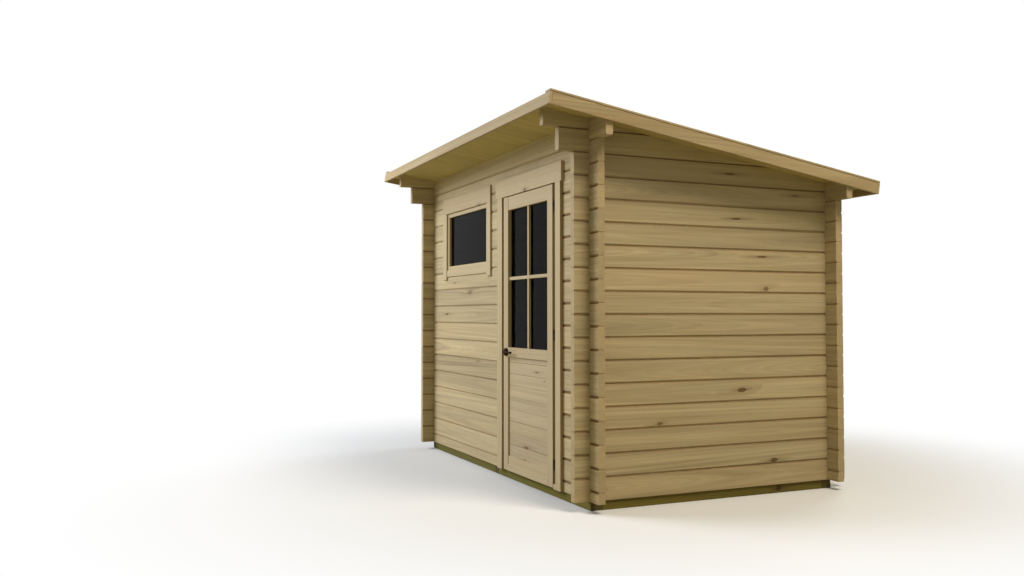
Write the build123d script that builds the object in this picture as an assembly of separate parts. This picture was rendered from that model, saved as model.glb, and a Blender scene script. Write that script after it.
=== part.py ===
from build123d import *
import os
from math import ceil, cos, floor, radians, tan

# A small timber summerhouse of stacked wall boards under a single-pitch roof.
# Millimetres. +X is right seen from the front, +Y points to the rear, +Z is up.
# The origin lies on the ground, in the middle of the walls' plan.

# Walls: boards with a cover height of one pitch, laid on edge and crossed at the corners.
house_width = 2490.0
house_depth = 1610.0
board_pitch = 120.0
wall_thickness = 42.0
stub_length = 88.0
groove_depth = 6.0
groove_half_height = 8.0
notch_play = 0.3

# Base frame and floor.
beam_height = 50.0
beam_width = 70.0
beam_inset = 10.0
bearer_width = 45.0
bearer_spacing = 590.0
floor_thickness = 18.0
floor_margin = 5.0
floor_board_width = 95.0
floor_groove = 1.5

# Roof.
roof_slope = 8.8
roof_board_thickness = 20.0
roof_board_width = 94.7
roof_groove = 1.6
felt_thickness = 4.0
front_overhang = 309.0
rear_overhang = 178.0
side_overhang = 2 * stub_length
fascia_thickness = 16.0
fascia_height = 64.0
lath_width = 60.0
lath_thickness = 13.0
purlin_width = 45.0
purlin_height = 95.0
purlin_seat = 20.0

# Corbelled boards at the top of the side walls, as multiples of the plain stub.
lower_corbel = 2 * stub_length
upper_corbel = 3 * stub_length

# Window in the front wall: a glazed sash in a lining, with casings over the joint.
# The window's top lines up with the underside of the door's header.
window_middle = -512.5
window_width = 764.0
window_height = 411.0
lining_thickness = 24.0
sash_width = 28.0
sash_thickness = 34.0
window_glass_recess = 18.0
glass_thickness = 4.0
glass_rebate = 8.0
window_casing_left_width = 74.0
window_casing_right_width = 66.0
window_casing_thickness = 12.0
window_rail_height = 46.0
window_rail_thickness = 8.0
window_casing_horn = 21.0
inner_trim_width = 50.0
inner_trim_thickness = 12.0
inner_trim_setback = 8.0

# Door frame and its casing. The header runs past the casings.
casing_thickness = 18.0
door_casing_left_width = 77.0
door_casing_right_width = 63.0
header_height = 110.0
header_left_reach = 23.0
header_right_reach = 13.0
above_header = 172.0
sill_height = 28.0
jamb_lip = 12.0
leaf_overlap = 12.0
foot_block_height = 28.0

# Door leaf, hung at the right.
leaf_middle = 513.0
leaf_width = 680.0
leaf_height = 1678.0
leaf_thickness = 36.0
leaf_play = 30.5
running_gap = 6.0
stop_gap = 5.0
stile_width = 66.0
bottom_rail_height = 91.0
lock_rail_height = 58.0
top_rail_height = 82.0
rail_setback = 2.5
rail_foot_height = 45.0
lock_bead_height = 30.0
panel_thickness = 18.0
panel_recess = 10.0
panel_board_pitch = 71.5
panel_tongue = 10.0
panel_groove = 1.6
bar_width = 19.5
bar_recess = 9.0
rear_bar_recess = 2.0
door_glass_recess = 24.0
fit_play = 0.3

# Hinges and handle.
hinge_inset = 124.0
hinge_radius = 5.5
hinge_half_length = 30.0
hinge_pin_radius = 3.0
hinge_bore_play = 0.2
hinge_cap = 4.0
pin_end_play = 2.0
hinge_split = 0.5
hinge_setback = 6.0
hinge_plate = 2.5
hinge_plate_depth = 28.0
handle_height = 729.0
handle_inset = 44.0
rosette_radius = 22.0
rosette_thickness = 7.0
rosette_chamfer = 2.5
neck_radius = 8.0
neck_length = 34.0
lever_length = 136.0
lever_height = 13.0
lever_thickness = 11.0
lever_chamfer = 3.0

# How far a cutting shape runs past what it cuts.
over_cut = 1.0

# Places worked out from the sizes above.
half_width = house_width / 2
half_depth = house_depth / 2
front_face = -half_depth
rear_face = half_depth
foot = beam_height
roof_run = house_depth / cos(radians(roof_slope))
roof_half = half_width + side_overhang
fascia_top = roof_board_thickness + felt_thickness
fascia_bottom = fascia_top - fascia_height

leaf_left = leaf_middle - leaf_width / 2
leaf_right = leaf_middle + leaf_width / 2
leaf_bottom = running_gap
leaf_top = leaf_bottom + leaf_height
leaf_front = front_face - casing_thickness
leaf_back = leaf_front + leaf_thickness
casing_left = leaf_left - leaf_play
casing_right = leaf_right + leaf_play
jamb_stop = leaf_back + stop_gap
header_bottom = leaf_top + running_gap
door_rough_left = casing_left - jamb_lip - notch_play
door_rough_right = casing_right + jamb_lip + notch_play
door_rough_top = header_bottom + jamb_lip + notch_play
way_left = leaf_left + leaf_overlap
way_right = leaf_right - leaf_overlap
way_top = leaf_top - leaf_overlap
lock_rail_bottom = handle_height - lock_rail_height / 2
lock_rail_top = handle_height + lock_rail_height / 2
hinge_heights = (leaf_bottom + hinge_inset, (leaf_bottom + leaf_top) / 2, leaf_top - hinge_inset)

window_left = window_middle - window_width / 2
window_right = window_middle + window_width / 2
window_top = header_bottom
window_bottom = window_top - window_height
window_rough_left = window_left - lining_thickness - notch_play
window_rough_right = window_right + lining_thickness + notch_play
window_rough_bottom = window_bottom - lining_thickness - notch_play
window_rough_top = window_top + lining_thickness + notch_play

front_height = header_bottom + header_height + above_header
roof_fall = tan(radians(roof_slope))
rear_height = front_height - house_depth * roof_fall
middle_height = front_height - half_depth * roof_fall
courses = floor(front_height / board_pitch)
corbel_foot = (courses - 1) * board_pitch


def half_joint(k):
    """A joint of the front and rear walls, which lie half a board higher than the side walls."""
    return (k + 0.5) * board_pitch


front_split_low = half_joint(floor(window_rough_bottom / board_pitch - 0.5))
front_split_high = half_joint(ceil(max(window_rough_top, door_rough_top) / board_pitch - 0.5))
front_top_joint = half_joint(ceil(front_height / board_pitch - 0.5) - 1)
rear_top_joint = half_joint(ceil(rear_height / board_pitch - 0.5) - 1)


def block(x0, x1, y0, y1, z0, z1):
    """A box between two corners, with its heights counted from the foot of the walls."""
    corner = Align.MIN
    box = Box(x1 - x0, y1 - y0, z1 - z0, align=(corner, corner, corner))
    return Pos(x0, y0, foot + z0) * box


def on_roof(shape):
    """Tilt a shape from the roof's own frame: x across, y down the slope, z out of it."""
    return Pos(0, front_face, foot + front_height) * (Rot(X=-roof_slope) * shape)


def roof_block(x0, x1, y0, y1, z0, z1):
    corner = Align.MIN
    box = Box(x1 - x0, y1 - y0, z1 - z0, align=(corner, corner, corner))
    return on_roof(Pos(x0, y0, z0) * box)


def save(name, *solids):
    shape = solids[0] if len(solids) == 1 else Compound(children=list(solids))
    export_step(shape, f"parts/{name}.step")


# Wall boards

def grooved_edge(side, inward, low, high, joints):
    """One face of a stack of boards, going up, with a V at each joint."""
    points = [(side, low)]
    for joint in joints:
        deep = (side + inward * groove_depth, joint)
        under = (side, joint - groove_half_height)
        over = (side, joint + groove_half_height)
        if joint == low:
            points = [deep, over]
        elif joint == high:
            return points + [under, deep]
        elif low + groove_half_height < joint < high - groove_half_height:
            points += [under, deep, over]
    return points + [(side, high)]


def stack(start, end, low, high, joints):
    """Boards stacked from low to high, running along X, with the outer face at y = 0."""
    outer = grooved_edge(0, 1, low, high, joints)
    inner = grooved_edge(wall_thickness, -1, low, high, joints)
    outline = make_face(Polyline(*outer, *reversed(inner), close=True))
    return Pos(start, 0, foot) * extrude(Plane.YZ * outline, amount=end - start)


def full_joints():
    return [k * board_pitch for k in range(1, courses + 2)]


def half_joints():
    return [half_joint(k) for k in range(courses + 2)]


def front_stack(start, end, low, high):
    return Pos(0, front_face, 0) * stack(start, end, low, high, half_joints())


def above_roof():
    """All the space over the underside of the roof boards."""
    return roof_block(-2 * half_width, 2 * half_width, -half_depth, 3 * half_depth, 0, half_depth)


def side_wall_pockets(face):
    """Pockets in a front or rear wall for the side walls' boards, at both corners."""
    low_y = face - over_cut
    high_y = face + wall_thickness + over_cut
    pockets = []
    for inner in (half_width - wall_thickness, -half_width):
        for k in range(courses + 1):
            low = (k + 0.25) * board_pitch - notch_play
            high = (k + 0.75) * board_pitch + notch_play
            left = inner - notch_play
            right = inner + wall_thickness + notch_play
            pockets.append(block(left, right, low_y, high_y, low, high))
    return pockets


def make_front_wall():
    left_end = -half_width - stub_length
    right_end = half_width + stub_length
    pockets = side_wall_pockets(front_face)
    lower = front_stack(left_end, door_rough_left, 0, front_split_low)
    under_window = front_stack(window_rough_left, window_rough_right,
                               front_split_low, window_rough_bottom)
    save("front_wall_lower", lower - pockets, under_window)
    beside = front_stack(left_end, window_rough_left, front_split_low, front_split_high)
    save("front_wall_window_left", beside - pockets)
    save("front_wall_window_right",
         front_stack(window_rough_right, door_rough_left, front_split_low, front_split_high))
    right = front_stack(door_rough_right, right_end, 0, front_split_high)
    save("front_wall_right", right - pockets)
    boards = front_stack(left_end, right_end, front_split_high, front_top_joint)
    eaves_board = front_stack(-roof_half, roof_half, front_top_joint, front_height + board_pitch)
    over_window = front_stack(window_rough_left, window_rough_right,
                              window_rough_top, front_split_high)
    over_door = front_stack(door_rough_left, door_rough_right, door_rough_top, front_split_high)
    save("front_wall_top", boards - pockets, eaves_board - pockets - above_roof(),
         over_window, over_door)


def make_rear_wall():
    inner_face = rear_face - wall_thickness
    pockets = side_wall_pockets(inner_face)
    boards = stack(-half_width - stub_length, half_width + stub_length, 0, rear_top_joint,
                   half_joints())
    eaves_board = stack(-roof_half, roof_half, rear_top_joint, front_height, half_joints())
    place = Pos(0, inner_face, 0)
    save("rear_wall", place * boards - pockets, place * eaves_board - pockets - above_roof())


def make_side_wall(name, outer_x):
    """Full boards with corbelled ends at the front, notched for the front and rear walls."""
    front_end = front_face - upper_corbel
    rear_end = rear_face + stub_length
    boards = stack(front_end, rear_end, 0, front_height + board_pitch, full_joints())
    wall = Pos(outer_x, 0, 0) * (Rot(Z=90) * boards)
    inner_x = outer_x - wall_thickness
    x0 = inner_x - over_cut
    x1 = outer_x + over_cut
    before = front_end - over_cut
    cuts = [block(x0, x1, before, front_face - stub_length, -over_cut, corbel_foot),
            block(x0, x1, before, front_face - lower_corbel, 0, corbel_foot + board_pitch)]
    for k in range(courses + 1):
        low = (k - 0.25) * board_pitch if k > 0 else -over_cut
        high = (k + 0.25) * board_pitch
        for crossed in (front_face, rear_face - wall_thickness):
            cuts.append(block(x0, x1, crossed - notch_play, crossed + wall_thickness + notch_play,
                              low, high))
    seat = purlin_seat + notch_play
    pocket = (x0, inner_x + seat) if outer_x > 0 else (outer_x - seat, x1)
    cuts.append(block(*pocket, -purlin_width / 2 - notch_play, purlin_width / 2 + notch_play,
                      middle_height - purlin_height, middle_height + board_pitch))
    save(name, wall - cuts - above_roof())


# Base

def make_base():
    left = -half_width + beam_inset
    right = half_width - beam_inset
    front = front_face + beam_inset
    rear = rear_face - beam_inset
    half = bearer_width / 2
    save("base_beam_front",
         block(left, -half, front, front + beam_width, -beam_height, 0),
         block(half, right, front, front + beam_width, -beam_height, 0))
    save("base_beam_rear", block(left, right, rear - beam_width, rear, -beam_height, 0))
    for name, x0 in (("left", left), ("right", right - beam_width)):
        save("base_beam_" + name,
             block(x0, x0 + beam_width, front + beam_width, rear - beam_width, -beam_height, 0))
    bearers = []
    for place, start in ((-bearer_spacing, front + beam_width), (0, front),
                         (bearer_spacing, front + beam_width)):
        bearers.append(block(place - half, place + half, start, rear - beam_width,
                             -beam_height, 0))
    save("floor_bearers", *bearers)


def make_floor():
    x_end = half_width - wall_thickness - floor_margin
    y_end = half_depth - wall_thickness - floor_margin
    boards = block(-x_end, x_end, -y_end, y_end, 0, floor_thickness)
    grooves = []
    joint = -y_end + floor_board_width
    while joint < y_end - floor_board_width / 2:
        outline = Polyline((joint - floor_groove, floor_thickness),
                           (joint, floor_thickness - floor_groove),
                           (joint + floor_groove, floor_thickness), close=True)
        groove = extrude(Plane.YZ * make_face(outline), amount=2 * x_end)
        grooves.append(Pos(-x_end, 0, foot) * groove)
        joint += floor_board_width
    save("floor_boards", boards - grooves)


# Roof

def make_roof():
    start = -front_overhang
    end = roof_run + rear_overhang
    deck = roof_block(-roof_half, roof_half, start, end, 0, roof_board_thickness)
    grooves = []
    count = round(2 * roof_half / roof_board_width)
    for k in range(1, count):
        joint = -roof_half + k * 2 * roof_half / count
        outline = Polyline((joint - roof_groove, 0), (joint, roof_groove), (joint + roof_groove, 0),
                           close=True)
        groove = extrude(Plane.XZ * make_face(outline), amount=end - start)
        grooves.append(on_roof(Pos(0, end, 0) * groove))
    save("roof_boards", deck - grooves)
    save("roof_felt", roof_block(-roof_half, roof_half, start, end, roof_board_thickness, fascia_top))
    outer = roof_half + fascia_thickness
    save("fascia_front", roof_block(-outer, outer, start - fascia_thickness, start,
                                    fascia_bottom, fascia_top))
    save("fascia_rear", roof_block(-outer, outer, end, end + fascia_thickness,
                                   fascia_bottom, fascia_top))
    save("fascia_left", roof_block(-outer, -roof_half, start, end, fascia_bottom, fascia_top))
    save("fascia_right", roof_block(roof_half, outer, start, end, fascia_bottom, fascia_top))
    lath_start = start - fascia_thickness
    lath_end = end + fascia_thickness
    lath_top = fascia_top + lath_thickness
    save("verge_laths",
         roof_block(-outer, -outer + lath_width, lath_start, lath_end, fascia_top, lath_top),
         roof_block(outer - lath_width, outer, lath_start, lath_end, fascia_top, lath_top))
    reach = half_width - wall_thickness + purlin_seat
    purlin = block(-reach, reach, -purlin_width / 2, purlin_width / 2,
                   middle_height - purlin_height + notch_play, middle_height + board_pitch)
    save("roof_purlin", purlin - above_roof())


# Window

def ring(x0, x1, z0, z1, border, y0, y1):
    """A frame of two uprights and two rails, with its outer edges given and a border inwards."""
    return [block(x0, x0 + border, y0, y1, z0, z1),
            block(x1 - border, x1, y0, y1, z0, z1),
            block(x0 + border, x1 - border, y0, y1, z0, z0 + border),
            block(x0 + border, x1 - border, y0, y1, z1 - border, z1)]


def make_window():
    inner_face = front_face + wall_thickness
    save("window_lining",
         *ring(window_left - lining_thickness, window_right + lining_thickness,
               window_bottom - lining_thickness, window_top + lining_thickness,
               lining_thickness, front_face, inner_face))
    sx0 = window_left + fit_play
    sx1 = window_right - fit_play
    sz0 = window_bottom + fit_play
    sz1 = window_top - fit_play
    rebate_at = sash_width - glass_rebate
    glass_front = front_face + window_glass_recess
    sash_back = front_face + sash_thickness
    rebate = block(sx0 + rebate_at, sx1 - rebate_at, glass_front, sash_back + over_cut,
                   sz0 + rebate_at, sz1 - rebate_at)
    sash = ring(sx0, sx1, sz0, sz1, sash_width, front_face, sash_back)
    save("window_sash", *[member - rebate for member in sash])
    inset = rebate_at + fit_play
    glass = (sx0 + inset, sx1 - inset, sz0 + inset, sz1 - inset)
    glass_back = glass_front + glass_thickness
    save("window_glass", block(glass[0], glass[1], glass_front, glass_back, glass[2], glass[3]))
    save("window_beads", *ring(*glass, glass_rebate - fit_play, glass_back, sash_back))
    front = front_face - window_casing_thickness
    outer_left = window_left - window_casing_left_width
    outer_right = window_right + window_casing_right_width
    rail_bottom = window_bottom - window_rail_height
    casing_foot = rail_bottom - window_casing_horn
    save("window_casings",
         block(outer_left, window_left, front, front_face, casing_foot, window_top),
         block(window_right, outer_right, front, front_face, casing_foot, window_top))
    save("window_header", block(outer_left, outer_right, front, front_face,
                                window_top, window_top + header_height))
    save("window_bottom_rail", block(window_left, window_right, front_face - window_rail_thickness,
                                     front_face, rail_bottom, window_bottom))
    trim = inner_trim_width + inner_trim_setback
    save("window_inner_trim",
         *ring(window_left - trim, window_right + trim, window_bottom - trim, window_top + trim,
               inner_trim_width, inner_face, inner_face + inner_trim_thickness))


# Door frame

def make_door_frame():
    inner_face = front_face + wall_thickness
    lip_left = casing_left - jamb_lip
    lip_right = casing_right + jamb_lip
    lip_top = header_bottom + jamb_lip
    left = block(lip_left, casing_left, front_face, jamb_stop, 0, lip_top)
    left += block(lip_left, way_left, jamb_stop, inner_face, 0, lip_top)
    right = block(casing_right, lip_right, front_face, jamb_stop, 0, lip_top)
    right += block(way_right, lip_right, jamb_stop, inner_face, 0, lip_top)
    save("door_jambs", left, right)
    head = block(casing_left, casing_right, front_face, jamb_stop, header_bottom, lip_top)
    head += block(way_left, way_right, jamb_stop, inner_face, way_top, lip_top)
    save("door_head", head)
    save("door_sill", block(way_left, way_right, jamb_stop, inner_face, 0, sill_height))
    front = front_face - casing_thickness
    outer_left = casing_left - door_casing_left_width
    outer_right = casing_right + door_casing_right_width
    save("door_casings",
         block(outer_left, casing_left, front, front_face, 0, header_bottom),
         block(casing_right, outer_right, front, front_face, 0, header_bottom),
         block(leaf_right + stop_gap, casing_right, front, front_face, 0, foot_block_height))
    save("door_header", block(outer_left - header_left_reach, outer_right + header_right_reach,
                              front, front_face, header_bottom, header_bottom + header_height))
    trim_back = inner_face + inner_trim_thickness
    trim_top = way_top + inner_trim_width
    save("door_inner_trim",
         block(way_left - inner_trim_width, way_left, inner_face, trim_back, sill_height, trim_top),
         block(way_right, way_right + inner_trim_width, inner_face, trim_back, sill_height, trim_top),
         block(way_left, way_right, inner_face, trim_back, way_top, trim_top))


# Door leaf

def rail_groove(left, right, height):
    """A V across the front of a rail."""
    outline = Polyline((leaf_front, height - panel_groove), (leaf_front + panel_groove, height),
                       (leaf_front, height + panel_groove), close=True)
    return Pos(left, 0, foot) * extrude(Plane.YZ * make_face(outline), amount=right - left)


def make_door_leaf():
    left_in = leaf_left + stile_width
    right_in = leaf_right - stile_width
    panel_low = leaf_bottom + bottom_rail_height
    light_high = leaf_top - top_rail_height
    panel_front = leaf_front + panel_recess
    rail_front = leaf_front + rail_setback
    glass_front = leaf_front + door_glass_recess
    glass_back = glass_front + glass_thickness
    slots = [block(left_in - panel_tongue, right_in + panel_tongue,
                   panel_front, panel_front + panel_thickness,
                   panel_low - panel_tongue, lock_rail_bottom + panel_tongue),
             block(left_in - glass_rebate, right_in + glass_rebate, glass_front, glass_back,
                   lock_rail_top - glass_rebate, light_high + glass_rebate)]
    save("door_stiles",
         block(leaf_left, left_in, leaf_front, leaf_back, leaf_bottom, leaf_top) - slots,
         block(right_in, leaf_right, leaf_front, leaf_back, leaf_bottom, leaf_top) - slots)
    bottom = block(left_in, right_in, leaf_front, leaf_back, leaf_bottom, panel_low)
    bottom -= block(left_in, right_in, leaf_front - over_cut, rail_front,
                    rail_foot_height, panel_low + over_cut)
    lock = block(left_in, right_in, leaf_front, leaf_back, lock_rail_bottom, lock_rail_top)
    lock -= rail_groove(left_in, right_in, lock_rail_top - lock_bead_height)
    top = block(left_in, right_in, rail_front, leaf_back, light_high, leaf_top)
    save("door_rails", bottom - slots, lock - slots, top - slots)
    save("door_panel_boards",
         make_panel(left_in, right_in, panel_low, lock_rail_bottom, panel_front))
    edge = glass_rebate - fit_play
    save("door_glass", block(left_in - edge, right_in + edge, glass_front, glass_back,
                             lock_rail_top - edge, light_high + edge))
    half = bar_width / 2
    middle_z = (lock_rail_top + light_high) / 2
    bars = []
    for y0, y1 in ((leaf_front + bar_recess, glass_front),
                   (glass_back, leaf_back - rear_bar_recess)):
        bars.append(block(leaf_middle - half, leaf_middle + half, y0, y1, lock_rail_top, light_high))
        for x0, x1 in ((left_in, leaf_middle - half), (leaf_middle + half, right_in)):
            bars.append(block(x0, x1, y0, y1, middle_z - half, middle_z + half))
    save("door_glazing_bars", *bars)


def make_panel(left_in, right_in, low, high, front):
    """Horizontal boards with a V at each joint, front and back."""
    back = front + panel_thickness
    reach = panel_tongue - fit_play
    panel = block(left_in - reach, right_in + reach, front, back, low - reach, high + reach)
    grooves = []
    joint = low + panel_board_pitch
    while joint < high:
        for face, inward in ((front, 1), (back, -1)):
            outline = Polyline((face, joint - panel_groove), (face + inward * panel_groove, joint),
                               (face, joint + panel_groove), close=True)
            groove = extrude(Plane.YZ * make_face(outline), amount=right_in - left_in + 2 * reach)
            grooves.append(Pos(left_in - reach, 0, foot) * groove)
        joint += panel_board_pitch
    return panel - grooves


# Hinges and handle

def make_hinges():
    axis_x = leaf_right + leaf_play / 2
    axis_y = leaf_front + hinge_setback
    half = hinge_plate / 2
    pin_reach = hinge_half_length - hinge_cap - pin_end_play
    fixed = []
    moving = []
    for height in hinge_heights:
        low = height - hinge_half_length
        high = height + hinge_half_length
        place = Pos(axis_x, axis_y, foot)
        up = (Align.CENTER, Align.CENTER, Align.MIN)
        knuckle = place * Pos(0, 0, low) * Cylinder(hinge_radius, height - low, align=up)
        knuckle += block(axis_x, casing_right, axis_y - half, axis_y + half, low, height)
        knuckle += block(casing_right - hinge_plate, casing_right, axis_y - half,
                         axis_y + half + hinge_plate_depth, low, height)
        pin = place * Pos(0, 0, low) * Cylinder(hinge_pin_radius, height - low + pin_reach, align=up)
        fixed.append(knuckle + pin)
        start = height + hinge_split
        barrel = place * Pos(0, 0, start) * Cylinder(hinge_radius, high - start, align=up)
        barrel += block(leaf_right, axis_x, axis_y - half, axis_y + half, start, high)
        barrel += block(leaf_right, leaf_right + hinge_plate, axis_y - half,
                        axis_y + half + hinge_plate_depth, start, high)
        bore = Cylinder(hinge_pin_radius + hinge_bore_play, high - start - hinge_cap, align=up)
        moving.append(barrel - place * Pos(0, 0, start) * bore)
    save("hinge_pins", *fixed)
    save("hinge_barrels", *moving)


def make_handle():
    x = leaf_left + handle_inset
    parts = []
    for face, outward in ((leaf_front, -1), (leaf_back, 1)):
        plane = Plane((x, face, foot + handle_height), x_dir=(1, 0, 0), z_dir=(0, outward, 0))
        rosette = extrude(plane * Circle(rosette_radius), amount=rosette_thickness)
        rim = rosette.edges().filter_by(GeomType.CIRCLE).sort_by(Axis((x, face, 0), (0, outward, 0)))[-1]
        handle = chamfer(rim, rosette_chamfer)
        handle += extrude(plane * Circle(neck_radius), amount=neck_length)
        grip = Pos(x + lever_length / 2 - lever_height / 2,
                   face + outward * (neck_length - lever_thickness / 2), foot + handle_height)
        lever = Box(lever_length, lever_thickness, lever_height)
        lever = chamfer(lever.edges().filter_by(Axis.X), lever_chamfer)
        handle += grip * lever
        parts.append(handle)
    save("door_handle", *parts)


os.makedirs("parts", exist_ok=True)
make_base()
make_floor()
make_front_wall()
make_rear_wall()
make_side_wall("left_wall", -half_width + wall_thickness)
make_side_wall("right_wall", half_width)
make_window()
make_door_frame()
make_door_leaf()
make_hinges()
make_handle()
make_roof()
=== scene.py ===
import bmesh
import bpy
from math import atan2, cos, pi, radians, sin
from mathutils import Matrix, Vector
from mathutils.bvhtree import BVHTree
from random import Random


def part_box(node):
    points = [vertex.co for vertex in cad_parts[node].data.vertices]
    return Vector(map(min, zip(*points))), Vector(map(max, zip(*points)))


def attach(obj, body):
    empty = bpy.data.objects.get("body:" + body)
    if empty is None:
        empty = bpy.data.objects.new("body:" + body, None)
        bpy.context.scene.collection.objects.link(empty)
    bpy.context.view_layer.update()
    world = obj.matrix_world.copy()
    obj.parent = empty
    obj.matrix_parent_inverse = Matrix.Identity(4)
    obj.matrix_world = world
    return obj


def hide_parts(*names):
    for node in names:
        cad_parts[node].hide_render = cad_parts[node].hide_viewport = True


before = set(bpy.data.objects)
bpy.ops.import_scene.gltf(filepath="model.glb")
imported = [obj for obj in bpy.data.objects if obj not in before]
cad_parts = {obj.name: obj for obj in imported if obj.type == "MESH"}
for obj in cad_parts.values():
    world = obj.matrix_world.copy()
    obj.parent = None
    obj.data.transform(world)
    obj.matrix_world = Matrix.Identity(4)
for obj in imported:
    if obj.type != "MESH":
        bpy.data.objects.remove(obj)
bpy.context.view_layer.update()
scene = bpy.context.scene
axisX, axisY, axisZ = range(3)
print("frame loaded:", len(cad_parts), "nodes")


# Camera, at the photograph's viewing angle

camera = {
    "place": (5.384, -3.071, 1.008),
    "tilt": 91.677,  # degrees up from looking straight down
    "roll": 0.016,
    "turn": 66.146,  # degrees left of looking to the rear
    "lens": 32.11, "sensor": 36.0,
}


def setCamera():
    data = bpy.data.cameras.new("camera")
    data.lens = camera["lens"]
    data.sensor_width = camera["sensor"]
    eye = bpy.data.objects.new("camera", data)
    eye.location = camera["place"]
    eye.rotation_euler = (radians(camera["tilt"]), radians(camera["roll"]), radians(camera["turn"]))
    scene.collection.objects.link(eye)
    scene.camera = eye


# Node helpers. An input is given a number, a colour or another node's socket

def feed(tree, node, values):
    for name, value in values.items():
        if isinstance(value, bpy.types.NodeSocket):
            tree.links.new(value, node.inputs[name])
        else:
            node.inputs[name].default_value = value


def calc(tree, operation, first, second=0.0, clamp=False):
    node = tree.nodes.new("ShaderNodeMath")
    node.operation = operation
    node.use_clamp = clamp
    feed(tree, node, {0: first, 1: second})
    return node.outputs[0]


def plus(tree, first, *others):
    for other in others:
        first = calc(tree, "ADD", first, other)
    return first


def minus(tree, first, second):
    return calc(tree, "SUBTRACT", first, second)


def times(tree, first, *others):
    for other in others:
        first = calc(tree, "MULTIPLY", first, other)
    return first


def eased(tree, value, start, end, low=0.0, high=1.0):
    node = tree.nodes.new("ShaderNodeMapRange")
    node.interpolation_type = "SMOOTHSTEP"
    feed(tree, node, {"Value": value, "From Min": start, "From Max": end, "To Min": low, "To Max": high})
    return node.outputs["Result"]


def vectorCalc(tree, operation, vector, amounts=(0.0, 0.0, 0.0)):
    node = tree.nodes.new("ShaderNodeVectorMath")
    node.operation = operation
    feed(tree, node, {0: vector, 1: amounts})
    return node.outputs["Value" if operation == "LENGTH" else "Vector"]


# stretch is how fine the noise is, per metre, along each axis or along all of them
def noiseOf(tree, vector, stretch, detail=2.0, roughness=0.5):
    stretch = stretch if isinstance(stretch, tuple) else (stretch, stretch, stretch)
    node = tree.nodes.new("ShaderNodeTexNoise")
    feed(tree, node, {"Vector": vectorCalc(tree, "MULTIPLY", vector, stretch), "Scale": 1.0,
                      "Detail": detail, "Roughness": roughness})
    return node.outputs["Fac"]


def blended(tree, amount, first, second, way="MIX"):
    node = tree.nodes.new("ShaderNodeMix")
    node.data_type = "RGBA"
    node.blend_type = way
    first, second = [(*value, 1.0) if isinstance(value, tuple) else value for value in (first, second)]
    feed(tree, node, {0: amount, 6: first, 7: second})  # 6, 7 and 2 are the node's colour sockets
    return node.outputs[2]


def meshData(tree, name, output="Vector"):
    node = tree.nodes.new("ShaderNodeAttribute")
    node.attribute_name = name
    return node.outputs[output]


def partsOf(tree, vector):
    node = tree.nodes.new("ShaderNodeSeparateXYZ")
    feed(tree, node, {0: vector})
    return node.outputs


def bumped(tree, height, strength, distance):
    node = tree.nodes.new("ShaderNodeBump")
    feed(tree, node, {"Height": height, "Strength": strength, "Distance": distance})
    return node.outputs["Normal"]


def objectPlace(tree):
    return tree.nodes.new("ShaderNodeTexCoord").outputs["Object"]


def newMaterial(name):
    material = bpy.data.materials.new(name)
    material.use_nodes = True
    tree = material.node_tree
    return material, tree, tree.nodes["Principled BSDF"]


# Wood. Colours are linear; a "Show" is how strongly a mark takes its colour

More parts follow.
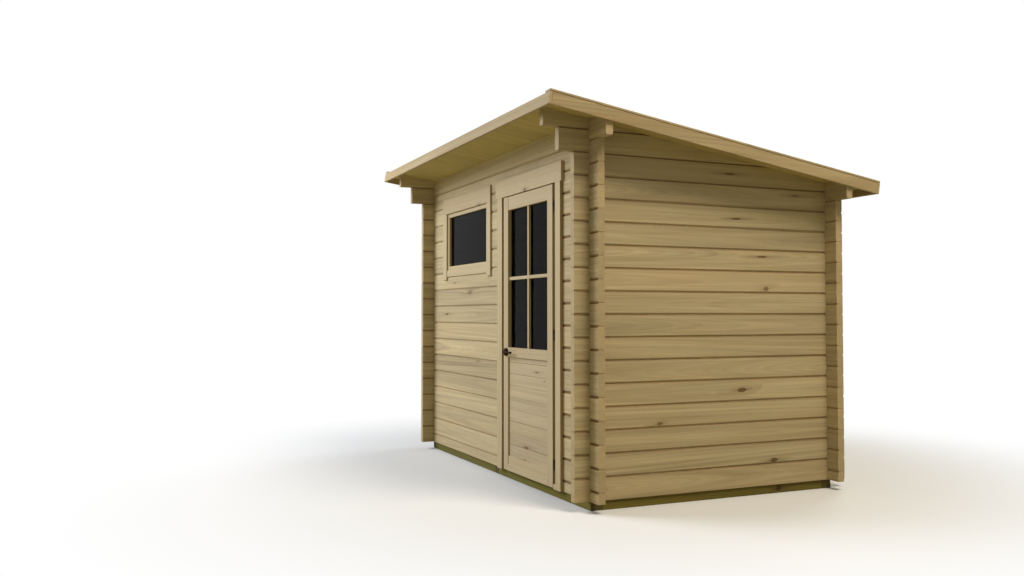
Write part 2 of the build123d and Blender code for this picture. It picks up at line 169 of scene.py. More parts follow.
woodFinishes = {
    "wallSpruce": {
        "pale": (0.512, 0.436, 0.29), "ring": (0.405, 0.316, 0.187), "warm": (0.488, 0.375, 0.225),
        "knot": (0.165, 0.092, 0.04), "knotRim": (0.085, 0.046, 0.02), "end": (0.455, 0.355, 0.215),
        "ringPitch": 0.0034, "ringShow": 0.5, "streakShow": 0.55, "bandShow": 0.42,
        "toneSpread": 0.17, "yearShow": 0.8, "grainShow": 1.45, "relief": 0.2, "dull": 0.68,
    },
    "joinerySpruce": {
        "pale": (0.535, 0.447, 0.298), "ring": (0.435, 0.338, 0.205), "warm": (0.515, 0.392, 0.243),
        "knot": (0.21, 0.115, 0.052), "knotRim": (0.09, 0.048, 0.021), "end": (0.455, 0.355, 0.215),
        "ringPitch": 0.003, "ringShow": 0.28, "streakShow": 0.22, "bandShow": 0.26,
        "toneSpread": 0.08, "yearShow": 0.22, "grainShow": 0.65, "relief": 0.14, "dull": 0.6,
    },
    "panelSpruce": {
        "pale": (0.5, 0.424, 0.292), "ring": (0.395, 0.312, 0.196), "warm": (0.48, 0.368, 0.235),
        "knot": (0.2, 0.11, 0.05), "knotRim": (0.09, 0.048, 0.021), "end": (0.455, 0.355, 0.215),
        "ringPitch": 0.0032, "ringShow": 0.4, "streakShow": 0.4, "bandShow": 0.36,
        "toneSpread": 0.12, "yearShow": 0.5, "grainShow": 1.05, "relief": 0.14, "dull": 0.6,
    },
    # a darker copy of the spruce: painted shade, so that the fascias, which face up into the light, stay dim
    "roofSpruceShaded": {
        "pale": (0.435, 0.355, 0.212), "ring": (0.335, 0.25, 0.134), "warm": (0.42, 0.305, 0.165),
        "knot": (0.215, 0.125, 0.058), "knotRim": (0.09, 0.05, 0.022), "end": (0.44, 0.34, 0.205),
        "ringPitch": 0.0036, "ringShow": 0.42, "streakShow": 0.55, "bandShow": 0.5,
        "toneSpread": 0.1, "yearShow": 0.8, "grainShow": 1.6, "relief": 0.2, "dull": 0.68,
    },
    # the roof boards, seen from below: a yellower copy of the spruce, painted olive light bounced up from the
    # ground
    "roofDeckPaintedBounce": {
        "pale": (0.5, 0.42, 0.185), "ring": (0.385, 0.305, 0.115), "warm": (0.46, 0.355, 0.14),
        "knot": (0.185, 0.105, 0.042), "knotRim": (0.075, 0.04, 0.016), "end": (0.4, 0.31, 0.16),
        "ringPitch": 0.0038, "ringShow": 0.36, "streakShow": 0.36, "bandShow": 0.45,
        "toneSpread": 0.12, "yearShow": 0.4, "grainShow": 1.00, "relief": 0.22, "dull": 0.74,
    },
    # the beams' own olive, darkened further as a painted shade for where they stand low by the ground
    "treatedTimber": {
        "pale": (0.166, 0.148, 0.029), "ring": (0.08, 0.08, 0.015), "warm": (0.17, 0.106, 0.021),
        "knot": (0.062, 0.028, 0.008), "knotRim": (0.026, 0.012, 0.004), "end": (0.075, 0.048, 0.016),
        "ringPitch": 0.0042, "ringShow": 0.55, "streakShow": 0.5, "bandShow": 0.62,
        "toneSpread": 0.16, "yearShow": 0.5, "grainShow": 1.3, "relief": 0.5, "dull": 0.82,
    },
}

# a pair says where a part of the knot begins and where it is full, in knot radii from its middle
knotLook = {
    "core": (1.15, 0.75), "rim": (0.45, 0.9), "halo": (2.3, 0.5), "tails": (1.05, 0.05),
    "haloShape": (0.6, 0.11),  # weights of the distances across and along the grain
    "tailShape": (1.3, 0.075),
    "edge": (70.0, 260.0, 260.0), "ragged": 0.75, "tailRagged": 0.5,
    "haloStain": 0.3,
    "lean": 0.12,
}

# noises go along, across and into the board, per metre; "By" is in metres
wood = {
    "wander": (0.45, 2.0, 2.0), "wanderBy": 0.026,  # how the pith strays along the board
    "wobble": (5.0, 30.0, 30.0), "wobbleBy": 0.0022,
    "swellBy": 0.012,  # how far the rings give way round a knot
    "lateRise": (0.25, 0.88), "lateFall": (1.0, 0.92),  # the dark late wood's part of each ring
    "endRings": 0.35,
    "years": (78.0, 0.3, 900.0),  # out from the pith, along, board to board
    "streak": (1.1, 75.0, 75.0), "streaks": (0.5, 0.72),
    "band": (0.55, 17.0, 17.0), "bands": (0.44, 0.7),
    "patch": (1.2, 7.0, 7.0), "patches": (0.45, 0.68), "warmEach": 0.35, "warmShow": 0.8,
    "fibre": (9.0, 800.0, 800.0), "fibreDull": 0.16,
    "stainShow": 0.8, "endShow": 0.7, "rimShow": 0.75,
    "shift": (3.7, 1.9, 5.3),  # keeps the tones apart from the colours
    "tones": (((0.9, 62.0, 62.0), 0.24), ((0.6, 13.0, 13.0), 0.18), ((9.0, 800.0, 800.0), 0.1)),
    "paintedShadeAndDirt": (0.4, 0.27, 0.14),  # what painted shade, with some dirt, leaves of the colour in joints and gaps
    "gloss": 0.3, "relief": 0.0006, "ringRelief": 0.5, "rimRelief": 0.6,
}


def rootOf(tree, squares, weights):
    return calc(tree, "SQRT", plus(tree, *[times(tree, *pair) for pair in zip(squares, weights)]))


# one knot: its core, its dark rim, the grain that swells round it and its brown stain
def knotAt(tree, grain, ragged, name):
    along, across = partsOf(tree, grain)[:2]
    atAlong, atAcross, radius = partsOf(tree, meshData(tree, name))
    stretch, tone, lean = partsOf(tree, meshData(tree, name + "Form"))
    offAlong = calc(tree, "DIVIDE", minus(tree, along, atAlong), times(tree, radius, stretch))
    offAcross = calc(tree, "DIVIDE", minus(tree, across, atAcross), radius)
    offAcross = minus(tree, offAcross, times(tree, offAlong, lean))
    squares = times(tree, offAcross, offAcross), times(tree, offAlong, offAlong)
    near = plus(tree, calc(tree, "SQRT", plus(tree, *squares)), ragged)
    core = times(tree, eased(tree, near, *knotLook["core"]), tone)
    rim = times(tree, core, core, eased(tree, near, *knotLook["rim"]))
    halo = eased(tree, rootOf(tree, squares, knotLook["haloShape"]), *knotLook["halo"])
    # brown tails run out along the grain on both sides
    thin = rootOf(tree, squares, knotLook["tailShape"])
    thin = plus(tree, thin, times(tree, ragged, knotLook["tailRagged"]))
    tails = times(tree, eased(tree, thin, *knotLook["tails"]), tone)
    stain = calc(tree, "MAXIMUM", times(tree, halo, tone, knotLook["haloStain"]), tails)
    return core, rim, halo, stain


def makeWood(name, finish):
    material, tree, shader = newMaterial(name)
    grain = meshData(tree, "grainAt")
    along, across, deep = partsOf(tree, grain)
    light, warmth, figure = partsOf(tree, meshData(tree, "boardLook"))
    pithAcross, pithDeep, slope = partsOf(tree, meshData(tree, "pithAt"))
    endCut = meshData(tree, "endCut", "Fac")

    ragged = minus(tree, noiseOf(tree, grain, knotLook["edge"], 3.0, 0.6), 0.5)
    ragged = times(tree, ragged, knotLook["ragged"])
    pairs = zip(knotAt(tree, grain, ragged, "knotA"), knotAt(tree, grain, ragged, "knotB"))
    core, rim, halo, stain = [calc(tree, "MAXIMUM", *pair) for pair in pairs]

    # growth rings, as shells round a pith that leans and wanders a little along the board
    sideways, inwards = minus(tree, across, pithAcross), minus(tree, deep, pithDeep)
    out = calc(tree, "SQRT", plus(tree, times(tree, sideways, sideways), times(tree, inwards, inwards)))
    wander = times(tree, noiseOf(tree, grain, wood["wander"], 1.0), wood["wanderBy"])
    wobble = times(tree, noiseOf(tree, grain, wood["wobble"]), wood["wobbleBy"])
    out = plus(tree, out, times(tree, along, slope), wander, wobble, times(tree, halo, wood["swellBy"]))
    phase = calc(tree, "FRACT", calc(tree, "DIVIDE", out, finish["ringPitch"]))
    late = times(tree, eased(tree, phase, *wood["lateRise"]), eased(tree, phase, *wood["lateFall"]))
    lateShow = times(tree, late, times(tree, figure, finish["ringShow"]))
    lateShow = plus(tree, lateShow, times(tree, late, endCut, wood["endRings"]))

    # good and lean years follow the rings as broader bands
    years = tree.nodes.new("ShaderNodeCombineXYZ")
    feed(tree, years, {0: out, 1: along, 2: pithAcross})
    years = noiseOf(tree, years.outputs[0], wood["years"], 2.0, 0.55)

    fibre = noiseOf(tree, grain, wood["fibre"], 1.0)
    streaks = eased(tree, noiseOf(tree, grain, wood["streak"], 3.0, 0.6), *wood["streaks"])
    bands = eased(tree, noiseOf(tree, grain, wood["band"]), *wood["bands"])
    patches = eased(tree, noiseOf(tree, grain, wood["patch"]), *wood["patches"])
    warmer = plus(tree, *[times(tree, part, wood["warmEach"]) for part in (warmth, patches)])
    warmer = calc(tree, "MULTIPLY", warmer, wood["warmShow"], clamp=True)
    colour = finish["pale"]
    for amount, taken in ((lateShow, "ring"), (times(tree, streaks, finish["streakShow"]), "ring"),
                          (times(tree, bands, finish["bandShow"]), "ring"), (warmer, "warm"),
                          (times(tree, stain, wood["stainShow"]), "knot"),
                          (times(tree, endCut, wood["endShow"]), "end"), (core, "knot"),
                          (times(tree, rim, wood["rimShow"]), "knotRim")):
        colour = blended(tree, amount, colour, finish[taken])

    # each board a little lighter or darker, with soft streaks, fine fibres, and painted shade in joints and
    # gaps
    shifted = vectorCalc(tree, "ADD", grain, wood["shift"])
    level = plus(tree, times(tree, minus(tree, light, 0.5), finish["toneSpread"]), 1.0)
    yearTone = times(tree, minus(tree, years, 0.5), finish["yearShow"])
    level = plus(tree, level, times(tree, yearTone, minus(tree, 1.0, endCut)))
    for stretch, amount in wood["tones"]:
        fleck = minus(tree, noiseOf(tree, shifted, stretch), 0.5)
        level = plus(tree, level, times(tree, fleck, amount * finish["grainShow"]))
    colour = blended(tree, 1.0, colour, level, "MULTIPLY")
    colour = blended(tree, meshData(tree, "paintedShade", "Fac"), colour, wood["paintedShadeAndDirt"], "MULTIPLY")

    fibreDull, ringRelief = wood["fibreDull"], wood["ringRelief"]
    height = plus(tree, times(tree, late, ringRelief), times(tree, fibre, 1.0 - ringRelief))
    height = minus(tree, height, times(tree, rim, wood["rimRelief"]))
    feed(tree, shader, {
        "Base Color": colour,
        "Roughness": plus(tree, times(tree, fibre, fibreDull), finish["dull"] - fibreDull / 2),
        "Specular IOR Level": wood["gloss"],
        "Normal": bumped(tree, height, finish["relief"], wood["relief"]),
    })
    return material


woods = {name: makeWood(name, finish) for name, finish in woodFinishes.items()}
print("woods mixed:", ", ".join(woods))


# Timber: each piece is cut from the frame's own shape into its real boards,
# with rounded arrises and the grain running along every board

sawing = {
    "weld": 1e-5,  # corners nearer than this are one
    "onPlane": 1e-6,
    "noTurn": 0.001,
    "flatAngle": 0.5,  # degrees; flatter edges are dissolved
    "margin": 0.002,  # a joint nearer than this to a solid's end doesn't cut it
}

boards = {
    "slide": 40.0,  # how far a board's grain may be slid, so that no two are alike
    "figure": (0.35, 1.0),  # how strongly its rings show
    "pithAcross": 1.1,  # the pith's place, in board widths
    "pithDeep": (0.3, 1.1),
    "pithSlope": 0.028,
    "knotChance": 0.32,  # per metre of board, tried twice
    "knotAlong": 0.45, "knotAcross": 0.34,  # farthest from the middle, in board lengths and widths
    "knotRadius": (0.004, 0.01), "knotStretch": (1.2, 2.6), "knotTone": (0.4, 1.0),
    "knotSlack": 0.001,  # how far past a board's edge its knot's middle may lie
    "jointReach": 0.012,  # faces nearer than this to a joint take the painted shade of its lips
    "underLip": 0.45,  # the painted shade on the lip that looks down, of that on the one below
    # the painted shade on faces that look right, beyond darkSide
    "sideShade": 0.55,
    # how squarely a face looks that way: along the board, to the side, out of a joint, up or down
    "endFacing": 0.7, "sideFacing": 0.7, "lipFacing": 0.35, "edgeFacing": 0.3,
}

# a knot on a board: along, across, radius, stretch and tone; this one lies far off every board
noKnot = (50.0, 0.0, 0.01, 1.0, 0.0)


def boxOf(solid):
    low = Vector([min(vert.co[i] for vert in solid.verts) for i in range(3)])
    high = Vector([max(vert.co[i] for vert in solid.verts) for i in range(3)])
    return low, high


# the face beyond an edge that closes the same solid; where two solids touch, an edge has four faces
def faceBeyond(face, edge):
    if len(edge.link_faces) == 2:
        return next(other for other in edge.link_faces if other is not face)
    start, end = edge.verts
    sides = {}
    for loop in edge.link_loops:
        way = 1.0 if loop.vert == start else -1.0
        sides[loop.face] = (way, loop.face.normal.cross((end.co - start.co) * way).normalized())
    way, inwards = sides[face]
    turns = []
    for other, (otherWay, reach) in sides.items():
        if otherWay != way:
            turn = atan2(-reach.dot(face.normal), reach.dot(inwards)) % (2 * pi)
            turns.append((turn if turn > sawing["noTurn"] else 2 * pi, other.index, other))
    return min(turns)[2] if turns else None


# the faces that close a solid with this one
def facesWith(first, waiting):
    waiting.discard(first)
    members, border = [first], [first]
    while border:
        face = border.pop()
        for edge in face.edges:
            other = faceBeyond(face, edge)
            if other in waiting:
                waiting.discard(other)
                members.append(other)
                border.append(other)
    return sorted(members, key=lambda face: face.index)


def solidsOf(node):
    whole = bmesh.new()
    whole.from_mesh(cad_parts[node].data)
    bmesh.ops.remove_doubles(whole, verts=whole.verts, dist=sawing["weld"])
    whole.normal_update()
    whole.faces.index_update()
    waiting = set(whole.faces)
    solids = []
    while waiting:
        solid = bmesh.new()
        points = {}
        for face in facesWith(min(waiting, key=lambda face: face.index), waiting):
            for vert in face.verts:
                if vert.index not in points:
                    points[vert.index] = solid.verts.new(vert.co)
            solid.faces.new([points[vert.index] for vert in face.verts])
        # the weld drops a triangle that two touching solids share, so it is filled in again
        bmesh.ops.holes_fill(solid, edges=[edge for edge in solid.edges if edge.is_boundary], sides=0)
        bmesh.ops.recalc_face_normals(solid, faces=solid.faces)
        bmesh.ops.dissolve_limit(solid, angle_limit=radians(sawing["flatAngle"]),
                                 verts=solid.verts, edges=solid.edges)
        solids.append(solid)
    whole.free()
    solids.sort(key=lambda solid: tuple(round(v, 4) for v in boxOf(solid)[0]))
    return solids


# cuts a solid at its joints, which are places along one axis, and closes each board again
def sawn(solid, axis, joints):
    low, high = boxOf(solid)
    margin = sawing["margin"]
    inside = [place for place in joints if low[axis] + margin < place < high[axis] - margin]
    normal = Vector([1.0 if i == axis else 0.0 for i in range(3)])
    cut = []
    for start, end in zip([None, *inside], [*inside, None]):
        board = solid.copy()
        for place, above in ((start, True), (end, False)):
            if place is None:
                continue
            bmesh.ops.bisect_plane(board, geom=[*board.verts, *board.edges, *board.faces],
                                   dist=sawing["onPlane"], plane_co=normal * place, plane_no=normal,
                                   clear_inner=above, clear_outer=not above)
            flat = [f for f in board.faces if all(abs(v.co[axis] - place) < sawing["weld"] for v in f.verts)]
            bmesh.ops.delete(board, geom=flat, context="FACES_ONLY")
            bmesh.ops.delete(board, geom=[e for e in board.edges if not e.link_faces], context="EDGES")
            bmesh.ops.holes_fill(board, edges=[e for e in board.edges if e.is_boundary], sides=0)
        bmesh.ops.recalc_face_normals(board, faces=board.faces)
        cut.append(board)
    solid.free()
    return cut


def easeEdges(board, arris, angle=25.0):
    sharp = [e for e in board.edges if len(e.link_faces) == 2 and e.calc_face_angle() > radians(angle)]
    bmesh.ops.bevel(board, geom=sharp, offset=arris, segments=2, profile=0.5, affect="EDGES",
                    clamp_overlap=True)


def show(name, mesh, body, nodes):
    piece = bpy.data.objects.new(name, mesh)
    scene.collection.objects.link(piece)
    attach(piece, body)
    if nodes:
        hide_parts(*nodes)


# draws where a board's grain starts, how it looks and where its pith lies
def drawLook(dice, width):
    across, slope = boards["pithAcross"], boards["pithSlope"]
    slide = dice.uniform(-boards["slide"], boards["slide"])
    look = (dice.random(), dice.random() ** 2, dice.uniform(*boards["figure"]))
    pith = (dice.uniform(-across, across) ** 3 * width, -dice.uniform(*boards["pithDeep"]) * width,
            dice.uniform(-slope, slope))
    return slide, look, pith


# a board's two knots: those listed that lie on it, or else some by chance
def knotsOn(dice, low, high, length, width, knots):
    middle, size, slack = (low + high) / 2, high - low, boards["knotSlack"]
    marks = []
    for place, *form in knots or ():
        if all(low[i] - slack <= place[i] <= high[i] + slack for i in (length, width)):
            marks.append((place[length] - middle[length], place[width] - middle[width], *form))
    along, across = boards["knotAlong"], boards["knotAcross"]
    while len(marks) < 2:
        if knots is None and dice.random() < boards["knotChance"] * size[length]:
            place = dice.uniform(-along, along) * size[length], dice.uniform(-across, across) * size[width]
            form = [dice.uniform(*boards[key]) for key in ("knotRadius", "knotStretch", "knotTone")]
            marks.append((*place, *form))
        else:
            marks.append(noKnot)
    return marks


# how deep a painted shade a face takes, because it is a joint's lip
def lipShade(face, axis, joints, shades):
    facing = face.normal[axis]
    depth = 0.0
    if abs(facing) > boards["lipFacing"]:
        at = face.calc_center_median()[axis]
        for place, shade in zip(joints, shades):
            if abs(at - place) < boards["jointReach"]:
                depth = shade if facing > 0 else shade * boards["underLip"]
    return depth


# knots=None leaves them to chance. The joints lie along the axis across, and jointShade, their painted shade,
# is one number or one for each. darkSide paints shade on what faces right beyond it, darkTop and darkUnder
# on what looks up or down
def timber(name, node, finish, arris, knots=None, across=None, joints=(), grain=None, wide=None,
           jointShade=0.0, darkSide=None, darkTop=0.0, darkUnder=0.0, body="house"):
    dice = Random(node)
    shades = jointShade if isinstance(jointShade, list) else [jointShade] * len(joints)
    points, faces, ends, depths = [], [], [], []
    data = {key: [] for key in ("grainAt", "boardLook", "pithAt", "knotA", "knotAForm", "knotB", "knotBForm")}
    for solid in solidsOf(node):
        for board in [solid] if across is None else sawn(solid, across, joints):
            low, high = boxOf(board)
            middle, size = (low + high) / 2, high - low
            order = sorted(range(3), key=lambda i: -size[i])
            for axis, rank in ((wide, 1), (grain, 0)):
                if axis is not None:
                    order.remove(axis)
                    order.insert(rank, axis)
            length, width, thick = order
            slide, look, pith = drawLook(dice, size[width])
            marks = knotsOn(dice, low, high, length, width, knots)
            easeEdges(board, arris)
            base = len(points)
            board.verts.index_update()
            for vert in board.verts:
                part = vert.co - middle
                points.append(tuple(vert.co))
                data["grainAt"].append((part[length] + slide, part[width], part[thick]))
                data["boardLook"].append(look)
                data["pithAt"].append(pith)
                for key, (along, aside, radius, stretch, tone) in zip(("knotA", "knotB"), marks):
                    data[key].append((along + slide, aside, radius))
                    data[key + "Form"].append((stretch, tone, knotLook["lean"]))
            for face in board.faces:
                faces.append([base + vert.index for vert in face.verts])
                ends.append(1.0 if abs(face.normal[length]) > boards["endFacing"] else 0.0)
                # faces in joints, and those marked by darkSide, darkTop or darkUnder, take a painted shade
                depth = 0.0 if across is None else lipShade(face, across, joints, shades)
                if darkSide is not None and face.normal.x > boards["sideFacing"]:
                    depth = boards["sideShade"] if face.calc_center_median().x > darkSide else depth
                if abs(face.normal.z) > boards["edgeFacing"]:
                    depth = (darkTop if face.normal.z > 0 else darkUnder) or depth
                depths.append(depth)
            board.free()
    mesh = bpy.data.meshes.new(name)
    mesh.from_pydata(points, [], faces)
    for key, values in data.items():
        layer = mesh.attributes.new(key, "FLOAT_VECTOR", "POINT")
        layer.data.foreach_set("vector", [number for value in values for number in value])
    for key, values in (("endCut", ends), ("paintedShade", depths)):
        layer = mesh.attributes.new(key, "FLOAT", "FACE")
        layer.data.foreach_set("value", values)
    mesh.materials.append(woods[finish])
    show(name, mesh, body, [node])


# rows give along, height, radius, stretch along the grain and how dark
def knotsFrom(rows, axis):
    return [(Vector((along, 0.0, z)) if axis == axisX else Vector((0.0, along, z)), *form)
            for along, z, *form in rows]


# Walls

walls = {
    "boardPitch": 0.12, "courses": 20, "arris": 0.0016,
    # piece, node and how dark a painted shade its joints take, darkest beside the door casing, in its shadow
    "front": [("frontWallLower", "front_wall_lower", 0.36),
              ("frontWallWindowLeft", "front_wall_window_left", 0.36),
              ("frontWallWindowRight", "front_wall_window_right", 0.36),
              ("frontWallRight", "front_wall_right", 1.0), ("frontWallTop", "front_wall_top", 0.36)],
    # the painted shade in the rear and side walls' joints
    "rearJoints": 0.4, "sideJoints": 0.66,
    "frontKnots": [(-0.452, 1.163, 0.015, 2.6, 0.55), (-0.748, 1.235, 0.006, 4.0, 0.6),
                   (-0.915, 1.013, 0.007, 4.0, 0.85), (-0.3, 0.7, 0.005, 3.0, 0.3)],
    "rightKnots": [(0.085, 1.791, 0.0055, 6.0, 1.0), (0.124, 1.542, 0.0055, 6.0, 1.0),
                   (0.302, 1.334, 0.0055, 6.5, 1.0), (0.542, 1.692, 0.007, 4.0, 0.5),
                   (0.329, 1.154, 0.013, 1.3, 0.75), (0.157, 0.59, 0.013, 2.2, 1.0),
                   (0.376, 0.189, 0.012, 2.0, 1.0), (-0.381, 0.428, 0.009, 2.0, 0.75),
                   (-0.738, 0.79, 0.008, 2.0, 0.8), (-0.74, 0.107, 0.008, 2.0, 0.8),
                   (0.875, 0.789, 0.008, 1.6, 0.8)],
}


def buildWalls():
    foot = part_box("base_beam_front")[1].z
    pitch, arris = walls["boardPitch"], walls["arris"]
    # the side walls' joints lie at whole board heights, those of the front and rear at half ones
    whole = [foot + k * pitch for k in range(1, walls["courses"])]
    half = [foot + (k + 0.5) * pitch for k in range(walls["courses"])]
    frontKnots = knotsFrom(walls["frontKnots"], axisX)
    for name, node, shade in walls["front"]:
        timber(name, node, "wallSpruce", arris, frontKnots, axisZ, half, axisX, jointShade=shade)
    timber("rearWall", "rear_wall", "wallSpruce", arris, None, axisZ, half, axisX,
           jointShade=walls["rearJoints"])
    for side, knots in (("left", None), ("right", knotsFrom(walls["rightKnots"], axisY))):
        timber(side + "Wall", side + "_wall", "wallSpruce", arris, knots, axisZ, whole, axisY,
               jointShade=walls["sideJoints"])
    print("walls stacked")


# Base, floor and roof

carcass = {
    "beamArris": 0.003,
    "beamKnots": [(0.415, 0.027, 0.017, 1.1, 1.0)],
    # floorJoints and roofJoints are the painted shade in those joints; sideFasciaTop paints a shadow line on
    # the side fascias' tops under the laths, and lathUnder paints shade on the laths' undersides
    "floorBoards": 16, "floorPitch": 0.095, "floorArris": 0.001, "floorJoints": 0.3,
    "roofBoard": 0.0947, "roofArris": 0.0007, "roofJoints": 0.1,
    "fasciaArris": 0.002, "sideFasciaArris": 0.0025, "sideFasciaTop": 0.6,
    "lathArris": 0.003, "lathUnder": 0.7,
}


def buildBase():
    arris = carcass["beamArris"]
    for name, node in (("frontBeams", "base_beam_front"), ("rearBeam", "base_beam_rear"),
                       ("leftBeam", "base_beam_left"), ("bearers", "floor_bearers")):
        timber(name, node, "treatedTimber", arris)
    timber("rightBeam", "base_beam_right", "treatedTimber", arris,
           knotsFrom(carcass["beamKnots"], axisY), wide=axisZ)
    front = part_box("floor_boards")[0].y
    joints = [front + k * carcass["floorPitch"] for k in range(1, carcass["floorBoards"])]
    timber("floor", "floor_boards", "roofSpruceShaded", carcass["floorArris"], None, axisY, joints, axisX,
           jointShade=carcass["floorJoints"])
    print("base and floor laid")


def buildRoof():
    low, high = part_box("roof_boards")
    count = round((high.x - low.x) / carcass["roofBoard"])
    joints = [low.x + k * (high.x - low.x) / count for k in range(1, count)]
    timber("roofBoards", "roof_boards", "roofDeckPaintedBounce", carcass["roofArris"], None, axisX, joints, axisY,
           jointShade=carcass["roofJoints"])
    timber("purlin", "roof_purlin", "roofSpruceShaded", carcass["fasciaArris"])
    for side in ("front", "rear"):
        timber(side + "Fascia", "fascia_" + side, "roofSpruceShaded", carcass["fasciaArris"], ())
    # the side fascias' tops, below the laths, take a painted shadow line, and the laths' undersides a painted
    # shade
    for side in ("left", "right"):
        timber(side + "Fascia", "fascia_" + side, "roofSpruceShaded", carcass["sideFasciaArris"], (),
               darkTop=carcass["sideFasciaTop"])
    timber("vergeLaths", "verge_laths", "roofSpruceShaded", carcass["lathArris"], darkUnder=carcass["lathUnder"])
    print("roof boarded")


# Window and door

joinery = {
    "arris": 0.0015,
    "railArris": 0.0007,  # smaller, for the fine V across the middle rail
    "panelArris": 0.0008, "panelBoard": 0.0715, "bottomRail": 0.091,
    "panelJoints": [0.8, 0.12, 0.8, 0.3, 0.08, 0.1, 0.5, 0.85],  # how dark a painted shade each joint takes, from the lowest up
    "panelKnots": [(0.631, 0.676, 0.0045, 4.2, 0.95), (0.482, 0.226, 0.0085, 3.6, 0.9),
                   (0.459, 0.151, 0.0035, 6.0, 0.75), (0.734, 0.63, 0.004, 2.0, 0.75)],
    "doorHeaderKnots": [(0.485, 1.748, 0.011, 1.2, 1.0)],
    "windowHeaderKnots": [(-0.262, 1.741, 0.01, 1.2, 1.0)],
    "edgeBand": 0.001,  # how near the leaf's right side a face counts as its edge, which takes a painted shade for the gap
}


def buildWindow():
    for name, node in (("windowLining", "window_lining"), ("windowSash", "window_sash"),
                       ("windowBeads", "window_beads"), ("windowCasings", "window_casings"),
                       ("windowRail", "window_bottom_rail"), ("windowTrim", "window_inner_trim")):
        timber(name, node, "joinerySpruce", joinery["arris"], ())
    timber("windowHeader", "window_header", "joinerySpruce", joinery["arris"],
           knotsFrom(joinery["windowHeaderKnots"], axisX))
    print("window fitted")


def buildDoor():
    arris, railArris = joinery["arris"], joinery["railArris"]
    for name, node in (("doorJambs", "door_jambs"), ("doorHead", "door_head"), ("doorSill", "door_sill"),
                       ("doorTrim", "door_inner_trim")):
        timber(name, node, "joinerySpruce", arris, ())
    # the casings' faces that look right take a painted shade, for the shadow they lie in
    timber("doorCasings", "door_casings", "joinerySpruce", arris, (), darkSide=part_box("door_casings")[0].x)
    timber("doorHeader", "door_header", "joinerySpruce", arris, knotsFrom(joinery["doorHeaderKnots"], axisX))
    low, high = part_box("door_stiles")
    edge = high.x - joinery["edgeBand"]
    # the leaf's right edge, deep in the gap by the hinges, takes a painted shade
    for name, node, size in (("doorStiles", "door_stiles", arris), ("doorRails", "door_rails", railArris),
                             ("doorBars", "door_glazing_bars", arris)):
        timber(name, node, "joinerySpruce", size, (), darkSide=edge, body="door")
    count = len(joinery["panelJoints"])
    joints = [low.z + joinery["bottomRail"] + k * joinery["panelBoard"] for k in range(1, count + 1)]
    timber("doorPanel", "door_panel_boards", "panelSpruce", joinery["panelArris"],
           knotsFrom(joinery["panelKnots"], axisX), axisZ, joints, axisX, jointShade=joinery["panelJoints"],
           body="door")
    print("door hung")


# Glass

glassLook = {
    # near black: a painted shade for the dark room seen through the pane
    "roomShadeTint": (0.104, 0.098, 0.1),
    "bend": 1.078,  # kept low, so that a pane seen from the side stays dark
    "smear": 9.0, "smears": (0.45, 0.8), "haze": (0.015, 0.07),  # haze from clear to smeared
    "ripple": 3.0, "rippleShow": 0.05, "rippleDepth": 0.002,
}


def makeGlass():
    material, tree, shader = newMaterial("windowPane")
    place = objectPlace(tree)
    smear = noiseOf(tree, place, glassLook["smear"], 4.0, 0.6)
    ripple = noiseOf(tree, place, glassLook["ripple"], 1.0)
    feed(tree, shader, {
        "Base Color": (*glassLook["roomShadeTint"], 1.0),
        "Roughness": eased(tree, smear, *glassLook["smears"], *glassLook["haze"]),
        "Transmission Weight": 1.0,
        "IOR": glassLook["bend"],
        "Normal": bumped(tree, ripple, glassLook["rippleShow"], glassLook["rippleDepth"]),
    })
    return material


def glazePanes():
    glass = makeGlass()
    for node in ("window_glass", "door_glass"):
        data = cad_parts[node].data
        data.materials.clear()
        data.materials.append(glass)
    print("panes glazed")


# Metal

metalLooks = {
    "darkBronze": {"colour": (0.024, 0.011, 0.007), "worn": (0.042, 0.021, 0.013),
                   "dull": 0.55, "metallic": 0.0, "gloss": 0.04},
    "nailSteel": {"colour": (0.19, 0.18, 0.165), "worn": (0.11, 0.095, 0.08),
                  "dull": 0.42, "metallic": 0.9, "gloss": 0.5},
}

metalWear = {
    "cloud": 60.0, "clouds": (0.45, 0.75), "cloudDull": 0.18,
    "scratch": (1200.0, 90.0, 300.0), "scratchShow": 0.08, "scratchDepth": 0.0003,
}


def makeMetal(name, look):
    material, tree, shader = newMaterial(name)
    place = objectPlace(tree)
    cloud = noiseOf(tree, place, metalWear["cloud"], 4.0, 0.6)
    scratch = noiseOf(tree, place, metalWear["scratch"])
    feed(tree, shader, {
        "Base Color": blended(tree, eased(tree, cloud, *metalWear["clouds"]), look["colour"], look["worn"]),
        "Metallic": look["metallic"],
        "Roughness": plus(tree, times(tree, cloud, metalWear["cloudDull"]), look["dull"]),
        "Specular IOR Level": look["gloss"],
        "Normal": bumped(tree, scratch, metalWear["scratchShow"], metalWear["scratchDepth"]),
    })
    return material


metals = {name: makeMetal(name, look) for name, look in metalLooks.items()}


# turns a finished shell into a piece with smooth faces and crisp edges
def showShell(name, shell, material, body, nodes=(), crisp=38):
    bmesh.ops.recalc_face_normals(shell, faces=shell.faces)
    mesh = bpy.data.meshes.new(name)
    shell.to_mesh(mesh)
    shell.free()
    mesh.materials.append(material)
    mesh.shade_smooth()
    mesh.set_sharp_from_angle(angle=radians(crisp))
    show(name, mesh, body, nodes)


# rings of points joined by a skin; closed with a flat face at both ends
def skin(shell, rings):
    rows = [[shell.verts.new(point) for point in ring] for ring in rings]
    count = len(rows[0])
    for first, second in zip(rows, rows[1:]):
        for k in range(count):
            shell.faces.new((first[k], first[(k + 1) % count], second[(k + 1) % count], second[k]))
    shell.faces.new(list(reversed(rows[0])))
    shell.faces.new(rows[-1])


def turnsOf(count):
    return [2 * pi * k / count for k in range(count)]


